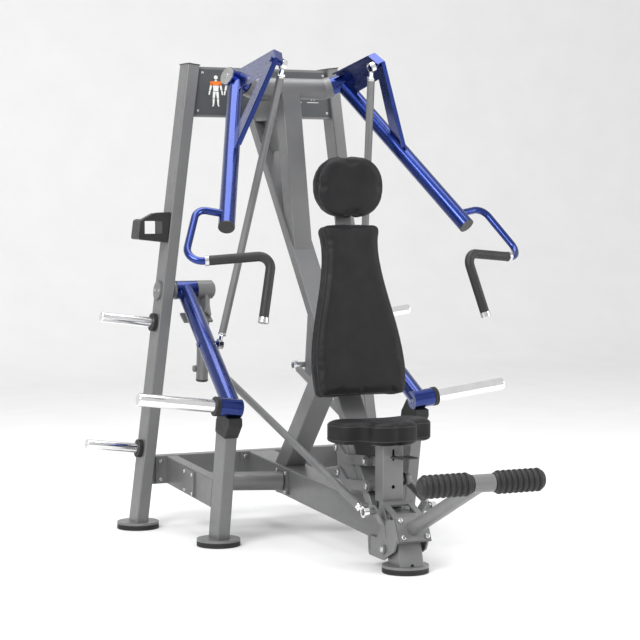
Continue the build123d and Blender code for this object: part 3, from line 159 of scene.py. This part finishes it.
MATS = {
    "grey_paint": paint("grey_paint", (0.150, 0.151, 0.153), (0.168, 0.169, 0.171), 0.40, 0.30, 0.15, 0.10),
    "blue_paint": paint("blue_paint", (0.002, 0.020, 0.165), (0.003, 0.024, 0.185), 0.24, 0.88, 0.7, 0.02),
    "chrome": metal_mat("chrome", (0.80, 0.80, 0.81), (0.88, 0.88, 0.89), 0.06),
    "steel": metal_mat("steel", (0.50, 0.50, 0.50), (0.64, 0.64, 0.63), 0.22, 300.0),
    "rubber": soft_black("rubber", (0.010, 0.010, 0.011), (0.018, 0.018, 0.018), 0.55, 700.0, 0.25, 0.0004),
    "black_plastic": soft_black("black_plastic", (0.014, 0.014, 0.015), (0.022, 0.022, 0.023), 0.38, 500.0, 0.12, 0.0003),
    "black_paint": paint("black_paint", (0.012, 0.012, 0.013), (0.020, 0.020, 0.021), 0.34, 0.2, 0.2, 0.10),
    "upholstery": leather("upholstery"),
    "sign": paint("sign", (0.050, 0.054, 0.058), (0.062, 0.066, 0.070), 0.45, 0.1, 0.1, 0.06),
    "print_white": soft_black("print_white", (0.62, 0.62, 0.62), (0.74, 0.74, 0.73), 0.5, 300.0, 0.05, 0.0002),
    "print_orange": soft_black("print_orange", (0.70, 0.16, 0.02), (0.80, 0.22, 0.03), 0.5, 300.0, 0.05, 0.0002),
    "thread": soft_black("thread", (0.016, 0.016, 0.017), (0.030, 0.030, 0.031), 0.6, 1200.0, 0.3, 0.0003),
}
slot_of = {s["node"]: s["material_slot"] for s in frame["record"]["subparts"]}
for name, obj in NODES.items():
    obj.data.materials.clear()
    obj.data.materials.append(MATS[slot_of[name]])


# ---------------------------------------------------------------- helpers
def link(name, mesh, mat, body, smooth=True):
    obj = bpy.data.objects.new(name, mesh)
    bpy.context.scene.collection.objects.link(obj)
    obj.data.materials.append(MATS[mat])
    if smooth:
        mesh.shade_smooth()
    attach(obj, body)
    return obj


def lathe(name, at, axis, profile, mat, body, n=48, sides=None, smooth=True):
    """Solid of revolution from (radius, height) pairs along an axis; sides makes a nut."""
    axis = V(axis).normalized()
    rot = axis.to_track_quat("Z", "Y").to_matrix()
    n = sides or n
    bm = bmesh.new()
    rings = []
    for r, h in profile:
        if r < 1e-6:
            rings.append([bm.verts.new(V(at) + rot @ V((0, 0, h)))])
            continue
        ring = []
        for i in range(n):
            a = 2 * math.pi * i / n
            ring.append(bm.verts.new(V(at) + rot @ V((r * math.cos(a), r * math.sin(a), h))))
        rings.append(ring)
    for p, q in zip(rings, rings[1:]):
        for i in range(n):
            j = (i + 1) % n
            if len(p) == 1 and len(q) > 1:
                bm.faces.new((p[0], q[i], q[j]))
            elif len(q) == 1 and len(p) > 1:
                bm.faces.new((p[i], q[0], p[j]))
            elif len(p) > 1:
                bm.faces.new((p[i], p[j], q[j], q[i]))
    bmesh.ops.recalc_face_normals(bm, faces=bm.faces)
    mesh = bpy.data.meshes.new(name)
    bm.to_mesh(mesh)
    bm.free()
    obj = link(name, mesh, mat, body, smooth and not sides)
    if smooth and not sides:
        soften(obj)
    return obj


def soften(obj, angle=35):
    for p in obj.data.polygons:
        p.use_smooth = True
    bpy.context.view_layer.objects.active = obj
    obj.data.set_sharp_from_angle(angle=math.radians(angle))


def pan_head(name, at, axis, r, body, mat="steel"):
    """Domed screw head with a round socket recess."""
    h = r * 0.55
    lathe(name, at, axis, [(0, -0.001), (r, -0.001), (r, h * 0.35), (r * 0.86, h * 0.8), (r * 0.5, h), (r * 0.46, h),
                           (r * 0.42, h * 0.45), (0, h * 0.45)], mat, body, 36)


def mirror_x(v):
    return V((-v[0], v[1], v[2]))


def both(fn, name, at, axis, *args, body="frame", **kw):
    for side in ("left", "right"):
        p, a = (V(at), V(axis)) if side == "left" else (mirror_x(at), mirror_x(axis))
        b = body.replace("SIDE", side)
        fn(f"{name}_{side}", p, a, *args, b, **kw)


def at(x, y, z):
    """Point in metres from the drawing's millimetres, with Y counted from the uprights."""
    return V((x / 1000, y / 1000 + MID, z / 1000))


# ---------------------------------------------------------------- cushions
def section_loop(obj, point, normal):
    """Ordered points where a plane cuts the mesh."""
    bm = bmesh.new()
    bm.from_mesh(obj.data)
    cut = bmesh.ops.bisect_plane(bm, geom=bm.verts[:] + bm.edges[:] + bm.faces[:], plane_co=point, plane_no=normal)
    edges = [e for e in cut["geom_cut"] if isinstance(e, bmesh.types.BMEdge)]
    near = {}
    for e in edges:
        a, b = e.verts
        near.setdefault(a, []).append(b)
        near.setdefault(b, []).append(a)
    if not near:
        bm.free()
        return []
    start = next(iter(near))
    loop, last, now = [start.co.copy()], None, start
    while True:
        step = [v for v in near[now] if v != last]
        if not step or (step[0] == start and len(loop) > 2):
            break
        last, now = now, step[0]
        if now == start:
            break
        loop.append(now.co.copy())
    bm.free()
    return loop


def seam(name, loop, radius, mat, body):
    """Raised welt that follows a closed loop of points."""
    count = len(loop)
    if count < 8:
        return None
    smooth = loop
    for _ in range(6):
        smooth = [(smooth[i - 1] + smooth[i] * 2 + smooth[(i + 1) % count]) / 4 for i in range(count)]
    curve = bpy.data.curves.new(name, "CURVE")
    curve.dimensions = "3D"
    curve.bevel_depth = radius
    curve.bevel_resolution = 3
    line = curve.splines.new("POLY")
    keep = smooth[::2]
    line.points.add(len(keep) - 1)
    for p, co in zip(line.points, keep):
        p.co = (*co, 1)
    line.use_cyclic_u = True
    tmp = bpy.data.objects.new(name + "_curve", curve)
    bpy.context.scene.collection.objects.link(tmp)
    bpy.context.view_layer.update()
    mesh = bpy.data.meshes.new_from_object(tmp.evaluated_get(bpy.context.evaluated_depsgraph_get()))
    bpy.data.objects.remove(tmp)
    return link(name, mesh, mat, body)


def cushion(name, node, body, normal, seams, shrink, cap):
    """Upholstered pad blown up from the CAD solid, with welts along its edges."""
    src = NODES[node]
    mesh = src.data.copy()
    mesh.name = name
    co = [v.co.copy() for v in mesh.vertices]
    lo = V([min(c[i] for c in co) for i in range(3)])
    hi = V([max(c[i] for c in co) for i in range(3)])
    mid, half = (lo + hi) / 2, (hi - lo) / 2
    for v in mesh.vertices:
        v.co = mid + V([(v.co[i] - mid[i]) * (half[i] - shrink) / half[i] for i in range(3)])
    obj = bpy.data.objects.new(name, mesh)
    bpy.context.scene.collection.objects.link(obj)
    mesh.materials.clear()
    mesh.materials.append(MATS["upholstery"])
    bpy.ops.object.select_all(action="DESELECT")
    obj.select_set(True)
    bpy.context.view_layer.objects.active = obj
    mod = obj.modifiers.new("remesh", "REMESH")
    mod.mode = "VOXEL"
    mod.voxel_size = 0.0055
    bpy.ops.object.modifier_apply(modifier=mod.name)
    relax = obj.modifiers.new("relax", "SMOOTH")
    relax.factor, relax.iterations = 0.5, 6
    bpy.ops.object.modifier_apply(modifier=relax.name)
    rest = [v.co.copy() for v in obj.data.vertices]
    cloth = obj.modifiers.new("cloth", "CLOTH")
    cloth.settings.use_pressure = True
    cloth.settings.uniform_pressure_force = 4.0
    cloth.settings.effector_weights.gravity = 0
    cloth.settings.quality = 4
    cloth.collision_settings.use_collision = False
    scene = bpy.context.scene
    for f in range(1, 21):
        scene.frame_set(f)
    swollen = obj.evaluated_get(bpy.context.evaluated_depsgraph_get())
    moved = [v.co.copy() for v in swollen.data.vertices]
    obj.modifiers.remove(cloth)
    for v, a, b in zip(obj.data.vertices, rest, moved):
        d = b - a
        if d.length > cap:
            d = d.normalized() * cap
        v.co = a + d
    scene.frame_set(1)
    for v in obj.data.vertices:
        for i in range(3):
            v.co[i] = min(max(v.co[i], lo[i] - 0.004), hi[i] + 0.004)
    relax = obj.modifiers.new("relax", "SMOOTH")
    relax.factor, relax.iterations = 0.5, 4
    bpy.ops.object.modifier_apply(modifier=relax.name)
    sub = obj.modifiers.new("sub", "SUBSURF")
    sub.levels = sub.render_levels = 1
    bpy.ops.object.modifier_apply(modifier=sub.name)
    obj.data.shade_smooth()
    for k, (point, no) in enumerate(seams):
        seam(f"{name}_welt_{k + 1}", section_loop(obj, V(point), V(no)), 0.0017, "thread", body)
    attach(obj, body)
    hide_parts(node)
    return obj


back_low, back_top = at(0, -1000, 612), at(0, -886, 1269)
back_up = (back_top - back_low).normalized()
back_out = V((0, -back_up.z, back_up.y))
cushion("back_cushion", "back_pad", "frame", back_out,
        [(back_low - back_out * 0.011, back_out), (back_low - back_out * 0.058, back_out)], 0.003, 0.009)
head_low, head_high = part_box("head_pad")
cushion("head_cushion", "head_pad", "frame", V((0, -1, 0)),
        [(V((0, head_low.y + 0.013, 0)), (0, 1, 0)), (V((0, head_high.y - 0.010, 0)), (0, 1, 0))], 0.003, 0.010)
seat_low, seat_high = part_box("seat_pad")
cushion("seat_cushion", "seat_pad", "seat_body", V((0, 0, 1)),
        [(V((0, 0, seat_high.z - 0.013)), (0, 0, 1)), (V((0, 0, seat_low.z + 0.012)), (0, 0, 1))], 0.003, 0.009)

# ---------------------------------------------------------------- fittings
cover = at(-455.7, 0, 981.6) + LEAN * 0.009
for k, dy in enumerate((-0.021, 0.021)):
    both(pan_head, f"pivot_cover_screw_{k + 1}", cover + V((0, dy, 0)), LEAN, 0.0055)
peg_hub = at(-417, -672, 557)
both(pan_head, "peg_screw", peg_hub - LEAN * 0.0445, -LEAN, 0.0075, body="weight_arm_SIDE_body")
hub_face = at(-160, -285, 1807) + PRESS * 0.1352
both(pan_head, "press_cap_screw", hub_face, PRESS, 0.0085, body="press_arm_SIDE_body")


def rod_fittings(name, eye, far, axis, body):
    """Bearing ring, lock nut and collar of a rod end."""
    for side in ("left", "right"):
        e, f, a = (V(eye), V(far), V(axis)) if side == "left" else (mirror_x(eye), mirror_x(far), mirror_x(axis))
        aim = (f - e).normalized()
        b = body.replace("SIDE", side)
        lathe(f"{name}_race_{side}", e, a, [(0.0142, -0.008), (0.0174, -0.0095), (0.0174, 0.0095), (0.0142, 0.008),
                                            (0.0142, -0.008)], "chrome", b)
        lathe(f"{name}_nut_{side}", e + aim * 0.036, aim, [(0.0095, 0), (0.0155, 0.001), (0.0165, 0.002), (0.0165, 0.009),
                                                           (0.0155, 0.010), (0.0095, 0.010)], "chrome", b, sides=6)
        lathe(f"{name}_collar_{side}", e + aim * 0.0462, aim, [(0.009, -0.004), (0.0152, -0.003), (0.0157, 0), (0.0157, 0.004),
                                                               (0.0150, 0.006)], "steel", b)


tie_low, tie_high = at(-315, -322.9, 776.3), at(-189.8, -672.6, 1874.0)
plate_normal = V((-0.9246, 0.0672, 0.3749))
rod_fittings("tie_low", tie_low, tie_high, (1, 0, 0), "tie_rod_SIDE_body")
rod_fittings("tie_high", tie_high, tie_low, plate_normal, "tie_rod_SIDE_body")
foot_high, foot_low = at(-182, 50, 647), at(-138, -1285, 222)
rod_fittings("foot_high", foot_high, foot_low, (1, 0, 0), "foot_rod_SIDE_body")
rod_fittings("foot_low", foot_low, foot_high, (1, 0, 0), "foot_rod_SIDE_body")

knob = at(56.2, -1205, 322)
lathe("seat_knob", knob, (1, 0, 0), [(0, 0), (0.011, 0), (0.011, 0.006), (0.019, 0.008), (0.021, 0.011), (0.021, 0.026),
                                     (0.019, 0.029), (0.006, 0.031), (0, 0.031)], "grey_paint", "seat_body")
lathe("seat_knob_ring", knob, (1, 0, 0), [(0, 0.001), (0.0235, 0.001), (0.0245, 0.004), (0.0235, 0.007), (0, 0.008)],
      "black_plastic", "seat_body")
PIN_CAP = [(0, -0.001), (0.0115, -0.001), (0.0115, 0.002), (0.009, 0.0045), (0, 0.0052)]
for s in (-1, 1):
    tag = "left" if s < 0 else "right"
    for k, (y, z, body) in enumerate(((-878, 408, "frame"), (-895, 315, "frame"),
                                      (-1123, 386, "seat_body"), (-1140, 293, "seat_body"))):
        lathe(f"link_pin_cap_{tag}_{k}", at(s * 64.6, y, z), (s, 0, 0), PIN_CAP, "steel", body)
    lathe(f"foot_pin_cap_{tag}", at(s * 75, -1296, 82), (s, 0, 0), PIN_CAP, "steel", "frame")
for side in ("left", "right"):
    s = -1 if side == "left" else 1
    lathe(f"lever_cap_{side}", at(s * 250, 40.2, 601), (0, 0.105, -0.9945),
          [(0, -0.002), (0.0262, -0.002), (0.0262, 0.004), (0.022, 0.0075), (0, 0.0085)], "black_plastic",
          f"lift_lever_{side}_body")


def plate_figure(name, pieces, mat):
    """Flat printed shapes on the sign, each a thin prism."""
    bm = bmesh.new()
    y0 = (-36.3) / 1000 + MID
    for shape in pieces:
        front = [bm.verts.new((x / 1000, y0 - 0.0009, z / 1000)) for x, z in shape]
        back = [bm.verts.new((x / 1000, y0 + 0.0008, z / 1000)) for x, z in shape]
        bm.faces.new(front)
        bm.faces.new(back[::-1])
        for i in range(len(shape)):
            j = (i + 1) % len(shape)
            bm.faces.new((front[i], back[i], back[j], front[j]))
    bmesh.ops.recalc_face_normals(bm, faces=bm.faces)
    mesh = bpy.data.meshes.new(name)
    bm.to_mesh(mesh)
    bm.free()
    return link(name, mesh, mat, "frame", smooth=False)


def disc(cx, cz, r, n=20):
    return [(cx + r * math.cos(2 * math.pi * i / n), cz + r * math.sin(2 * math.pi * i / n)) for i in range(n)]


def limb(p, q, w0, w1):
    d = V((q[0] - p[0], q[1] - p[1], 0)).normalized()
    s = V((-d.y, d.x, 0))
    return [(p[0] + s.x * w0, p[1] + s.y * w0), (p[0] - s.x * w0, p[1] - s.y * w0),
            (q[0] - s.x * w1, q[1] - s.y * w1), (q[0] + s.x * w1, q[1] + s.y * w1)]


def figure(cx, base, k):
    """Standing generic figure: light body parts, and the trained muscles in orange."""
    body = [disc(cx, base + 112 * k, 8 * k), limb((cx, base + 102 * k), (cx, base + 96 * k), 4 * k, 5 * k),
            limb((cx, base + 80 * k), (cx, base + 58 * k), 12 * k, 10 * k)]
    warm = [limb((cx, base + 97 * k), (cx, base + 81 * k), 15 * k, 13 * k)]
    for s in (-1, 1):
        body += [limb((cx + s * 20 * k, base + 80 * k), (cx + s * 24 * k, base + 62 * k), 4 * k, 3.4 * k),
                 limb((cx + s * 25 * k, base + 60 * k), (cx + s * 28 * k, base + 44 * k), 3.2 * k, 2.4 * k),
                 limb((cx + s * 6 * k, base + 56 * k), (cx + s * 9 * k, base + 30 * k), 6 * k, 4 * k),
                 limb((cx + s * 9 * k, base + 28 * k), (cx + s * 10 * k, base + 4 * k), 4.4 * k, 2.6 * k),
                 limb((cx + s * 10 * k, base + 3 * k), (cx + s * 14 * k, base), 3 * k, 2.4 * k)]
        warm += [disc(cx + s * 18.5 * k, base + 91 * k, 6 * k, 12),
                 limb((cx + s * 19 * k, base + 88 * k), (cx + s * 20 * k, base + 81 * k), 4.4 * k, 4 * k)]
    return body, warm


white, orange = [], []
for cx in (-214, -146):
    w, o = figure(cx, 1742, 1.06)
    white += w
    orange += o
for cx in (72, 150, 228):
    w, o = figure(cx, 1776, 0.55)
    white += w + [limb((cx - 26, 1766), (cx + 26, 1766), 1.2, 1.2)]
    orange += o
plate_figure("sign_figures", white, "print_white")
plate_figure("sign_muscles", orange, "print_orange")

# ---------------------------------------------------------------- stage
floor_mat, n, l, b = new_mat("studio_floor", (0.86, 0.86, 0.86), 0.6)
tint(n, l, remap(n, l, noise(n, l, coords(n, l), 3.0), 0, 1), (0.85, 0.85, 0.85), (0.88, 0.88, 0.88), b)
bm = bmesh.new()
size, back, rise, high = 14.0, 9.0, 2.0, 9.0
profile = [(-16.0, 0.0), (back - rise, 0.0)]
profile += [(back - rise + rise * math.sin(a), rise - rise * math.cos(a)) for a in [math.pi / 2 * i / 12 for i in range(1, 13)]]
profile += [(back, high)]
rows = [[bm.verts.new((x, y, z)) for x in (-size, size)] for y, z in profile]
for p, q in zip(rows, rows[1:]):
    bm.faces.new((p[0], p[1], q[1], q[0]))
mesh = bpy.data.meshes.new("studio_floor")
bm.to_mesh(mesh)
bm.free()
mesh.shade_smooth()
floor = bpy.data.objects.new("studio_floor", mesh)
floor.data.materials.append(floor_mat)
bpy.context.scene.collection.objects.link(floor)

world = bpy.data.worlds.new("studio")
bpy.context.scene.world = world
world.use_nodes = True
world.node_tree.nodes["Background"].inputs["Color"].default_value = (1, 1, 1, 1)
world.node_tree.nodes["Background"].inputs["Strength"].default_value = 0.75


def softbox(name, place, target, size_x, size_y, power):
    data = bpy.data.lights.new(name, "AREA")
    data.shape, data.size, data.size_y, data.energy = "RECTANGLE", size_x, size_y, power
    lamp = bpy.data.objects.new(name, data)
    lamp.location = place
    lamp.rotation_mode = "QUATERNION"
    lamp.rotation_quaternion = (V(target) - V(place)).to_track_quat("-Z", "Y")
    bpy.context.scene.collection.objects.link(lamp)


softbox("key", (-4.5, -3.0, 4.5), (0, 0, 0.9), 2.4, 3.2, 330)
softbox("fill", (4.8, -3.2, 2.6), (0, 0, 0.9), 2.0, 3.4, 150)
softbox("top", (0.0, 0.5, 5.2), (0, 0, 0.9), 3.5, 3.5, 160)

cam_data = bpy.data.cameras.new("camera")
cam_data.lens, cam_data.sensor_width, cam_data.clip_end = 110.6, 36.0, 60.0
cam = bpy.data.objects.new("camera", cam_data)
bpy.context.scene.collection.objects.link(cam)
cam.location = (-3.2743, -7.6408 + MID, 1.34425)
cam.rotation_mode = "QUATERNION"
cam.rotation_quaternion = V((0.4209, 0.9051, -0.0597)).to_track_quat("-Z", "Y")
bpy.context.scene.camera = cam
bpy.context.scene.view_settings.view_transform = "Standard"
